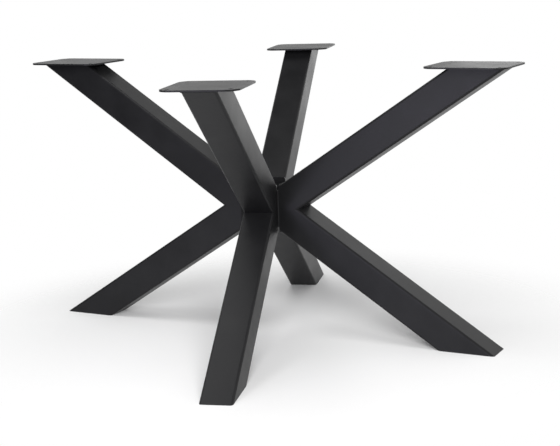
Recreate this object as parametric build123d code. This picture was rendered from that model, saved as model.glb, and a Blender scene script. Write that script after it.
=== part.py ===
from build123d import *
from math import atan2, cos, degrees, radians, sin, tan
import os

# A crossed table base: four sideways V legs of square steel tube, bolted round a six-sided hub.
# X runs along the long side of the table, Y along the short side, Z up, with the floor at Z = 0.
# One leg is drawn in its own upright plane, with r running out from the middle of the base.

# Overall height and spread
height = 710
leg_angle = 37  # each leg turns this far from the long side, in degrees

# Square tube
tube_width = 80
tube_depth = 80
tube_wall = 3
tube_corner = 6  # outside; the bore is drawn with sharp corners

# Outline of one leg: the notch between its two tubes, and how far out they reach
notch_reach = 110
notch_height = 337
arm_reach = 667
foot_reach = 635

# Top plates, which the table top is screwed to
plate_length = 210
plate_width = 178
plate_thickness = 4
plate_corner = 30
plate_overhang = 12  # beyond the outer edge of the arm
screw_hole = 10
screw_inset = 19

# Foot plates, which close the tubes at the floor
foot_plate_thickness = 4

# Hub and the end plates that the legs are bolted by
hub_wall = 5
hub_corner = 3
hub_inset = 16  # the end plates stand this far above and below it
hub_clearance = 2  # between the end plates of neighbouring legs
end_plate_thickness = 6

# M12 bolts, plate washers and weld nuts
bolt_diameter = 12
bolt_length = 25
bolt_head_height = 7.5
bolt_flats = 18
bolt_clearance = 1
bolt_spacing = 50
washer_width = 26
washer_length = 80
washer_thickness = 3
nut_height = 10
thread_gap = 0.1

leg_azimuths = {
    "back_right": leg_angle,
    "back_left": 180 - leg_angle,
    "front_left": 180 + leg_angle,
    "front_right": -leg_angle,
}

# Places worked out from the sizes above
plate_underside = height - plate_thickness
notch = Vector(notch_reach, 0, notch_height)
arm_way = (Vector(arm_reach, 0, plate_underside) - notch).normalized()
shin_way = (Vector(foot_reach, 0, 0) - notch).normalized()
mitre_way = (arm_way + shin_way).normalized()
hub_face = (tube_width / 2 + hub_clearance) / tan(radians(leg_angle))
tube_end = hub_face + end_plate_thickness
far = 2 * (arm_reach + foot_reach + height)


def height_on(way, offset, r):
    """Height at r of a line that runs along way, offset square to it from the notch."""
    slope = way.Z / way.X
    return notch_height + (r - notch_reach) * slope + offset / way.X


end_top = height_on(arm_way, tube_depth, tube_end)
end_bottom = height_on(shin_way, -tube_depth, tube_end)
end_middle = (end_top + end_bottom) / 2
mitre_end = height_on(mitre_way, 0, tube_end)
mitre_far = height_on(mitre_way, 0, far)


def tube_outline():
    return RectangleRounded(tube_depth, tube_width, tube_corner)


def bore_outline():
    return Rectangle(tube_depth - 2 * tube_wall, tube_width - 2 * tube_wall)


def along(way, side, outline):
    """A long bar with this outline along a tube's run; side is +1 for the arm and -1 for the shin."""
    inward = Vector(-way.Z, 0, way.X) * side
    middle = notch + inward * (tube_depth / 2)
    return extrude(Plane(middle, x_dir=inward, z_dir=way) * outline, amount=far, both=True)


def upright(*corners):
    """A slab that holds everything of the leg's plane inside these corners."""
    face = make_face(Polyline(*[(r, 0, z) for r, z in corners], close=True))
    return extrude(face, amount=tube_width, both=True, dir=(0, 1, 0))


def upper_arm():
    tube = along(arm_way, 1, tube_outline() - bore_outline())
    keep = upright((tube_end, mitre_end), (far, mitre_far), (far, plate_underside), (tube_end, plate_underside))
    return tube & keep


def lower_leg():
    tube = along(shin_way, -1, tube_outline() - bore_outline())
    keep = upright((tube_end, mitre_end), (far, mitre_far), (far, 0), (tube_end, 0))
    return tube & keep


def top_plate():
    across = plate_width - 2 * screw_inset
    lengthways = plate_length - 2 * screw_inset
    outline = RectangleRounded(plate_length, plate_width, plate_corner)
    outline -= GridLocations(lengthways, across, 2, 2) * Circle(screw_hole / 2)
    centre = Vector(arm_reach + plate_overhang - plate_length / 2, 0, plate_underside)
    return extrude(Plane(centre) * outline, amount=plate_thickness)


def foot_plate():
    plug = along(shin_way, -1, bore_outline())
    return plug & upright((0, 0), (far, 0), (far, foot_plate_thickness), (0, foot_plate_thickness))


def facing_out(r):
    """A plane square to the leg at r, halfway up the end plate, with its normal pointing out."""
    return Plane((r, 0, end_middle), x_dir=(0, 1, 0), z_dir=(1, 0, 0))


def pair(outline):
    """The outline twice, at the leg's upper and lower bolt."""
    return Sketch() + GridLocations(0, bolt_spacing, 1, 2) * outline


def bolt_hole():
    return Circle((bolt_diameter + bolt_clearance) / 2)


def end_plate():
    outline = RectangleRounded(tube_width, end_top - end_bottom, tube_corner) - pair(bolt_hole())
    return extrude(facing_out(hub_face) * outline, amount=end_plate_thickness)


def hexagon():
    return RegularPolygon(bolt_flats / 2, 6, major_radius=False)


def bolts():
    seat = facing_out(hub_face - hub_wall - washer_thickness)
    heads = extrude(seat * pair(hexagon()), amount=-bolt_head_height)
    shanks = extrude(seat * pair(Circle(bolt_diameter / 2)), amount=bolt_length)
    return heads + shanks


def plate_washer():
    """One flat washer under both heads, which spreads their pull over the thin wall of the hub."""
    seat = facing_out(hub_face - hub_wall - washer_thickness)
    outline = Rectangle(washer_width, washer_length) - pair(bolt_hole())
    return extrude(seat * outline, amount=washer_thickness)


def weld_nuts():
    ring = hexagon() - Circle(bolt_diameter / 2 + thread_gap)
    return extrude(facing_out(tube_end) * pair(ring), amount=nut_height)


def on_leg(azimuth, solid):
    return Rotation(0, 0, azimuth) * solid


def on_all_legs(solid):
    return Part() + [on_leg(azimuth, solid) for azimuth in leg_azimuths.values()]


def hub():
    half_face = hub_face * tan(radians(leg_angle))
    reach = (hub_face**2 + half_face**2) ** 0.5
    side_angle = leg_angle + degrees(atan2(half_face, hub_face))
    corner_angles = [0, side_angle, 180 - side_angle, 180, 180 + side_angle, -side_angle]
    corners = [(reach * cos(radians(a)), reach * sin(radians(a))) for a in corner_angles]
    outer = make_face(Polyline(*corners, close=True))
    inner = offset(outer, amount=-hub_wall, kind=Kind.INTERSECTION)
    wall = fillet(outer.vertices(), hub_corner) - inner
    bottom = Plane((0, 0, end_bottom + hub_inset))
    post = extrude(bottom * wall, amount=end_top - end_bottom - 2 * hub_inset)
    drill = extrude(facing_out(hub_face) * pair(bolt_hole()), amount=-2 * hub_wall)
    return post - on_all_legs(drill)


os.makedirs("parts", exist_ok=True)
leg_pieces = {
    "upper_arm": upper_arm(),
    "lower_leg": lower_leg(),
    "top_plate": top_plate(),
    "foot_plate": foot_plate(),
    "end_plate": end_plate(),
    "plate_washer": plate_washer(),
}
for place, azimuth in leg_azimuths.items():
    for piece, solid in leg_pieces.items():
        export_step(on_leg(azimuth, solid), f"parts/{piece}_{place}.step")
export_step(on_all_legs(bolts()), "parts/hub_bolts.step")
export_step(on_all_legs(weld_nuts()), "parts/weld_nuts.step")
export_step(hub(), "parts/hub.step")
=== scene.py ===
from math import atan2, cos, pi, radians, sin

import bpy
from mathutils import Matrix, Vector


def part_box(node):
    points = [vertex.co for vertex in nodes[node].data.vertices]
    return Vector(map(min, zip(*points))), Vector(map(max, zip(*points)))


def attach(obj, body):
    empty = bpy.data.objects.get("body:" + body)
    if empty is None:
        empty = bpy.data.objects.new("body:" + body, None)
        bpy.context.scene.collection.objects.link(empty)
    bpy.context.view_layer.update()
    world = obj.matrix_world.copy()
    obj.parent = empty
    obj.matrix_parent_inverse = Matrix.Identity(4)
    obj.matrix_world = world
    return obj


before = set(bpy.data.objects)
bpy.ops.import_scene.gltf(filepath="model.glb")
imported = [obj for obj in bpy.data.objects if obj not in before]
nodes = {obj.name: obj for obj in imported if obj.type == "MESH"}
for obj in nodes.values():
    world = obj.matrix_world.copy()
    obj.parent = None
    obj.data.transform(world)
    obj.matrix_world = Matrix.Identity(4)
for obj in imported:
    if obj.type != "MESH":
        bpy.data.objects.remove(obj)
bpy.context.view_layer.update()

# A crossed steel table base, powder coated. Metres, Z up, with the floor at Z = 0.
mm = 0.001
places = ("back_right", "back_left", "front_left", "front_right")
zinc_plated = ("hub_bolts", "plate_washer", "weld_nuts")

# Square tube, as it is cut for the legs
tube_side = 80 * mm
tube_corner = 6 * mm

# Weld bead round the top of each arm, where it meets its plate
bead_radius = 3 * mm
bead_sides = 10
ripple_pitch = 2.4 * mm
ripple_steps = 5
corner_steps = 6  # straight runs round each rounded corner of its path

# Sizes of the patterns in the finishes
film_patch = 90 * mm  # the powder's film pools and thins over hand-sized areas
peel_grain = 2 * mm  # orange peel, twice as coarse as the real 1 mm so that it shows
peel_depth = 0.3 * mm
zinc_bloom = 5 * mm
noise_span = {"From Min": 0.3, "From Max": 0.7}  # nearly all of a noise's values lie between these

# Floor, surround and camera
floor_side = 24.0
shadow_radius = 0.4  # the floor keeps its whole shadow as far out as this
white_radius = 1.05  # and none from here on
fill_level = 0.42  # what the surround gives to matt paint; seen or mirrored, it is 1
sensor_width_mm = 36.0

# The Mix node's colour sockets, which share their names with its other sockets
mix_a, mix_b, mix_result = 6, 7, 2


def linear(hex_colour):
    """An sRGB hex colour as linear RGBA."""
    parts = [int(hex_colour[i:i + 2], 16) / 255 for i in (1, 3, 5)]
    return [c / 12.92 if c <= 0.04045 else ((c + 0.055) / 1.055) ** 2.4 for c in parts] + [1.0]


def add(tree, kind, inputs=None, **settings):
    """Adds a node. Each input takes a number, a colour or another node's socket."""
    node = tree.nodes.new(kind)
    for name, value in settings.items():
        setattr(node, name, value)
    for key, value in (inputs or {}).items():
        if isinstance(value, bpy.types.NodeSocket):
            tree.links.new(value, node.inputs[key])
        else:
            node.inputs[key].default_value = value
    return node


def new_material(name):
    material = bpy.data.materials.new(name)
    material.use_nodes = True
    material.node_tree.nodes.clear()
    return material


def satin_powder_coat():
    """Black polyester powder, sprayed and baked: a satin skin whose fine orange peel softens reflections."""
    material = new_material("satin_black_powder_coat")
    tree = material.node_tree
    place = add(tree, "ShaderNodeTexCoord").outputs["Object"]

    pooling = {"Vector": place, "Scale": 1 / film_patch, "Detail": 3.0, "Roughness": 0.6}
    film = add(tree, "ShaderNodeTexNoise", pooling).outputs["Fac"]
    film = add(tree, "ShaderNodeMapRange", {"Value": film, **noise_span}).outputs["Result"]
    shades = {0: film, mix_a: linear("#151516"), mix_b: linear("#1b1b1c")}
    colour = add(tree, "ShaderNodeMix", shades, data_type="RGBA").outputs[mix_result]
    roughness = add(tree, "ShaderNodeMapRange", {"Value": film, "To Min": 0.38, "To Max": 0.45})

    grain = {"Vector": place, "Scale": 1 / peel_grain, "Detail": 2.0, "Roughness": 0.5}
    peel = add(tree, "ShaderNodeTexNoise", grain).outputs["Fac"]
    skin = add(tree, "ShaderNodeBump", {"Height": peel, "Strength": 0.12, "Distance": peel_depth})

    finish = {
        "Base Color": colour,
        "Roughness": roughness.outputs["Result"],
        "IOR": 1.27,
        "Normal": skin.outputs["Normal"],
    }
    shader = add(tree, "ShaderNodeBsdfPrincipled", finish)
    add(tree, "ShaderNodeOutputMaterial", {"Surface": shader.outputs["BSDF"]})
    return material


def bright_zinc():
    """Electroplated zinc on the bolts, washers and nuts: a cool grey metal with a faint cloudy bloom."""
    material = new_material("bright_zinc_plate")
    tree = material.node_tree
    place = add(tree, "ShaderNodeTexCoord").outputs["Object"]

    clouds = {"Vector": place, "Scale": 1 / zinc_bloom, "Detail": 4.0}
    bloom = add(tree, "ShaderNodeTexNoise", clouds).outputs["Fac"]
    bloom = add(tree, "ShaderNodeMapRange", {"Value": bloom, **noise_span}).outputs["Result"]
    shades = {0: bloom, mix_a: linear("#a9adb0"), mix_b: linear("#c3c6c9")}
    colour = add(tree, "ShaderNodeMix", shades, data_type="RGBA").outputs[mix_result]
    roughness = add(tree, "ShaderNodeMapRange", {"Value": bloom, "To Min": 0.28, "To Max": 0.42})

    finish = {"Base Color": colour, "Metallic": 1.0, "Roughness": roughness.outputs["Result"]}
    shader = add(tree, "ShaderNodeBsdfPrincipled", finish)
    add(tree, "ShaderNodeOutputMaterial", {"Surface": shader.outputs["BSDF"]})
    return material


def seen_rays(tree):
    """1 for the rays that should meet a white surround: seen directly, mirrored, or through glass."""
    rays = add(tree, "ShaderNodeLightPath").outputs
    seen = rays["Is Camera Ray"]
    for kind in ("Is Glossy Ray", "Is Transmission Ray"):
        seen = add(tree, "ShaderNodeMath", {0: seen, 1: rays[kind]}, operation="MAXIMUM").outputs[0]
    return seen


def studio_paper():
    """Matt white paper: keeps the shadow near the base, fades into the surround, and is clear from below."""
    material = new_material("white_studio_paper")
    tree = material.node_tree
    place = add(tree, "ShaderNodeTexCoord").outputs["Object"]
    distance = add(tree, "ShaderNodeVectorMath", {0: place}, operation="LENGTH").outputs["Value"]
    fade = {"Value": distance, "From Min": shadow_radius, "From Max": white_radius}
    faded = add(tree, "ShaderNodeMapRange", fade, interpolation_type="SMOOTHSTEP").outputs["Result"]
    back = add(tree, "ShaderNodeNewGeometry").outputs["Backfacing"]
    seen = add(tree, "ShaderNodeLightPath").outputs["Is Camera Ray"]
    below = add(tree, "ShaderNodeMath", {0: back, 1: seen}, operation="MULTIPLY").outputs[0]
    hidden = add(tree, "ShaderNodeMath", {0: faded, 1: below}, operation="MAXIMUM").outputs[0]
    paper = add(tree, "ShaderNodeBsdfDiffuse", {"Color": linear("#f7f7f7")}).outputs[0]
    clear = add(tree, "ShaderNodeBsdfTransparent").outputs[0]
    both = add(tree, "ShaderNodeMixShader", {"Fac": hidden, 1: paper, 2: clear}).outputs[0]
    add(tree, "ShaderNodeOutputMaterial", {"Surface": both})
    return material


def flag_cloth():
    """Black cotton cloth, which gives back next to nothing."""
    material = new_material("black_flag_cloth")
    cloth = add(material.node_tree, "ShaderNodeBsdfDiffuse", {"Color": linear("#141414")})
    add(material.node_tree, "ShaderNodeOutputMaterial", {"Surface": cloth.outputs[0]})
    return material


def add_object(name, data):
    thing = bpy.data.objects.new(name, data)
    bpy.context.scene.collection.objects.link(thing)
    return thing


def mesh_object(name, vertices, edges=(), faces=()):
    mesh = bpy.data.meshes.new(name)
    mesh.from_pydata(vertices, edges, faces)
    return add_object(name, mesh)


def panel(name, width, height):
    """A flat rectangle round the origin, facing up."""
    x, y = width / 2, height / 2
    return mesh_object(name, [(-x, -y, 0), (x, -y, 0), (x, y, 0), (-x, y, 0)], faces=[(0, 1, 2, 3)])


# Weld beads, swept along the lines where the pieces meet
def weld_bead_tree(paint):
    """A bead along every edge of a mesh, swollen in even ripples as a weld pool leaves it."""
    tree = bpy.data.node_groups.new("weld_bead", "GeometryNodeTree")
    sockets = tree.interface
    sockets.new_socket("Seams", in_out="INPUT", socket_type="NodeSocketGeometry")
    sockets.new_socket("Bead radius", in_out="INPUT", socket_type="NodeSocketFloat")
    sockets.new_socket("Ripple pitch", in_out="INPUT", socket_type="NodeSocketFloat")
    sockets.new_socket("Beads", in_out="OUTPUT", socket_type="NodeSocketGeometry")
    given = add(tree, "NodeGroupInput").outputs
    radius, pitch = given["Bead radius"], given["Ripple pitch"]

    step = add(tree, "ShaderNodeMath", {0: pitch, 1: ripple_steps}, operation="DIVIDE").outputs[0]
    line = add(tree, "GeometryNodeMeshToCurve", {"Mesh": given["Seams"]}).outputs["Curve"]
    spacing = {"Curve": line, "Length": step}
    line = add(tree, "GeometryNodeResampleCurve", spacing, mode="LENGTH").outputs["Curve"]

    # Each ripple starts full and thins; the whole bead also wanders a little in size
    along = add(tree, "GeometryNodeSplineParameter").outputs["Length"]
    turns = add(tree, "ShaderNodeMath", {0: along, 1: pitch}, operation="DIVIDE").outputs[0]
    phase = add(tree, "ShaderNodeMath", {0: turns}, operation="FRACT").outputs[0]
    thinning = {"Value": phase, "To Min": 1.0, "To Max": 0.86}
    swell = add(tree, "ShaderNodeMapRange", thinning).outputs["Result"]
    slow = {"W": turns, "Scale": 0.35, "Detail": 1.0}
    wander = add(tree, "ShaderNodeTexNoise", slow, noise_dimensions="1D").outputs["Fac"]
    unevenness = {"Value": wander, "To Min": 0.88, "To Max": 1.12}
    drift = add(tree, "ShaderNodeMapRange", unevenness).outputs["Result"]
    size = add(tree, "ShaderNodeMath", {0: swell, 1: drift}, operation="MULTIPLY").outputs[0]
    size = add(tree, "ShaderNodeMath", {0: size, 1: radius}, operation="MULTIPLY").outputs[0]

    ring = add(tree, "GeometryNodeCurvePrimitiveCircle", {"Resolution": bead_sides, "Radius": 1.0})
    sweep = {"Curve": line, "Profile Curve": ring.outputs["Curve"], "Scale": size, "Fill Caps": True}
    bead = add(tree, "GeometryNodeCurveToMesh", sweep).outputs["Mesh"]
    bead = add(tree, "GeometryNodeSetShadeSmooth", {"Geometry": bead}).outputs["Geometry"]
    bead = add(tree, "GeometryNodeRealizeInstances", {"Geometry": bead}).outputs["Geometry"]
    bead = add(tree, "GeometryNodeSetMaterial", {"Geometry": bead, "Material": paint}).outputs["Geometry"]
    add(tree, "NodeGroupOutput", {"Beads": bead})
    return tree


def grown(tree, name, seams, **sizes):
    """The plain mesh that a node tree makes from these seams."""
    modifier = seams.modifiers.new(tree.name, "NODES")
    modifier.node_group = tree
    for socket in tree.interface.items_tree:
        key = socket.name.lower().replace(" ", "_")
        if socket.in_out == "INPUT" and key in sizes:
            modifier[socket.identifier] = sizes[key]
    evaluated = seams.evaluated_get(bpy.context.evaluated_depsgraph_get())
    mesh = bpy.data.meshes.new_from_object(evaluated)
    mesh.name = name
    piece = add_object(name, mesh)
    bpy.data.objects.remove(seams)
    return piece


def leg_azimuth(place):
    """The direction of a leg in plan, from the middle of its top plate."""
    low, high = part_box(f"top_plate_{place}")
    return atan2(low.y + high.y, low.x + high.x)


def outline_at_top(place):
    """The outer outline of an arm just under its plate, as points in order round it."""
    arm = nodes[f"upper_arm_{place}"]
    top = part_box(f"upper_arm_{place}")[1].z
    azimuth = leg_azimuth(place)
    out = Vector((cos(azimuth), sin(azimuth), 0))
    across = Vector((-sin(azimuth), cos(azimuth), 0))
    reaches = [v.co.dot(out) for v in arm.data.vertices if v.co.z > top - 0.01 * mm]
    middle = (min(reaches) + max(reaches)) / 2
    # The arm slopes, so its level cut is longer than the tube is deep
    stretch = (max(reaches) - min(reaches)) / tube_side
    centre = tube_side / 2 - tube_corner
    points = []
    for corner, (x_sign, y_sign) in enumerate(((1, 1), (-1, 1), (-1, -1), (1, -1))):
        for step in range(corner_steps + 1):
            turn = corner * pi / 2 + step * pi / (2 * corner_steps)
            x = (centre * x_sign + tube_corner * cos(turn)) * stretch
            y = centre * y_sign + tube_corner * sin(turn)
            points.append(out * (middle + x) + across * y + Vector((0, 0, top)))
    return points


def weld_seams(name, loops):
    """A wire mesh of closed loops of points."""
    vertices, edges = [], []
    for loop in loops:
        first = len(vertices)
        vertices += loop
        edges += [(first + i, first + (i + 1) % len(loop)) for i in range(len(loop))]
    return mesh_object(name, vertices, edges)


powder_coat = satin_powder_coat()
zinc = bright_zinc()
for name, node in nodes.items():
    node.data.materials.clear()
    node.data.materials.append(zinc if name.startswith(zinc_plated) else powder_coat)

bead_tree = weld_bead_tree(powder_coat)
seams = weld_seams("plate_seams", [outline_at_top(place) for place in places])
plate_welds = grown(bead_tree, "plate_welds", seams, bead_radius=bead_radius, ripple_pitch=ripple_pitch)
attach(plate_welds, "root")


# Floor, surround, lamps and flags
floor = panel("floor", floor_side, floor_side)
floor.data.materials.append(studio_paper())

world = bpy.data.worlds.new("white_studio")
bpy.context.scene.world = world
world.use_nodes = True
sky = world.node_tree
sky.nodes.clear()
strength = {"Value": seen_rays(sky), "To Min": fill_level, "To Max": 1.0}
level = add(sky, "ShaderNodeMapRange", strength).outputs["Result"]
surround = add(sky, "ShaderNodeBackground", {"Color": linear("#ffffff"), "Strength": level})
add(sky, "ShaderNodeOutputWorld", {"Surface": surround.outputs[0]})


def turn_to(thing, place, aim):
    """Puts a lamp or a flag at one point and turns it towards another."""
    thing.location = place
    thing.rotation_euler = (Vector(aim) - Vector(place)).to_track_quat("-Z", "Y").to_euler()


def softbox(name, place, aim, width, height, watts):
    lamp = bpy.data.lights.new(name, "AREA")
    lamp.shape = "RECTANGLE"
    lamp.size = width
    lamp.size_y = height
    lamp.energy = watts
    holder = add_object(name, lamp)
    turn_to(holder, place, aim)
    return holder


black_cloth = flag_cloth()


def flag(name, place, aim, width, height):
    """A black cloth panel that only mirrored rays meet: it keeps part of the surround out of the paint."""
    cloth = panel(name, width, height)
    turn_to(cloth, place, aim)
    cloth.data.materials.append(black_cloth)
    cloth.visible_camera = False
    cloth.visible_diffuse = False
    cloth.visible_shadow = False


middle = (0, 0, 0.35)
front = softbox("front_softbox", (1.7, -3.0, 0.15), (0.0, 0.0, 0.15), width=1.4, height=0.3, watts=32)
front.data.color = linear("#e8e5ff")[:3]
key = softbox("key_softbox", (3.7, -1.5, 1.8), middle, width=2.0, height=1.6, watts=180)
key.visible_glossy = False
softbox("back_softbox", (-2.2, 2.6, 0.9), middle, width=1.0, height=1.6, watts=6)
softbox("top_softbox", (0.05, -0.5, 2.2), (0.3, -0.2, 0.1), width=0.9, height=0.9, watts=11)
flag("overhead_flag", (-1.2, 0.45, 2.7), (-0.4, 0.2, 0.5), width=1.8, height=1.8)
flag("left_flag", (-1.3, -1.5, 0.8), (-1.3, 0.0, 0.8), width=2.8, height=1.6)


def photo_camera(position, azimuth, pitch, roll, focal_length):
    camera = bpy.data.cameras.new("camera")
    camera.sensor_fit = "HORIZONTAL"
    camera.sensor_width = sensor_width_mm
    camera.lens = focal_length
    camera.clip_end = 100.0
    holder = add_object("camera", camera)
    forward = Vector((cos(azimuth) * cos(pitch), sin(azimuth) * cos(pitch), sin(pitch)))
    level_right = Vector((sin(azimuth), -cos(azimuth), 0))
    level_up = level_right.cross(forward)
    right = level_right * cos(roll) + level_up * sin(roll)
    up = level_up * cos(roll) - level_right * sin(roll)
    turn = Matrix((right, up, -forward)).transposed()
    holder.matrix_world = Matrix.Translation(position) @ turn.to_4x4()
    bpy.context.scene.camera = holder


# Worked out from the edges of the tubes in the photograph
photo_camera(
    position=(3.2315, -1.5102, 0.9946),
    azimuth=radians(154.433),
    pitch=radians(-11.22),
    roll=radians(-1.92),
    focal_length=88.57,
)
bpy.context.scene.view_settings.view_transform = "Standard"
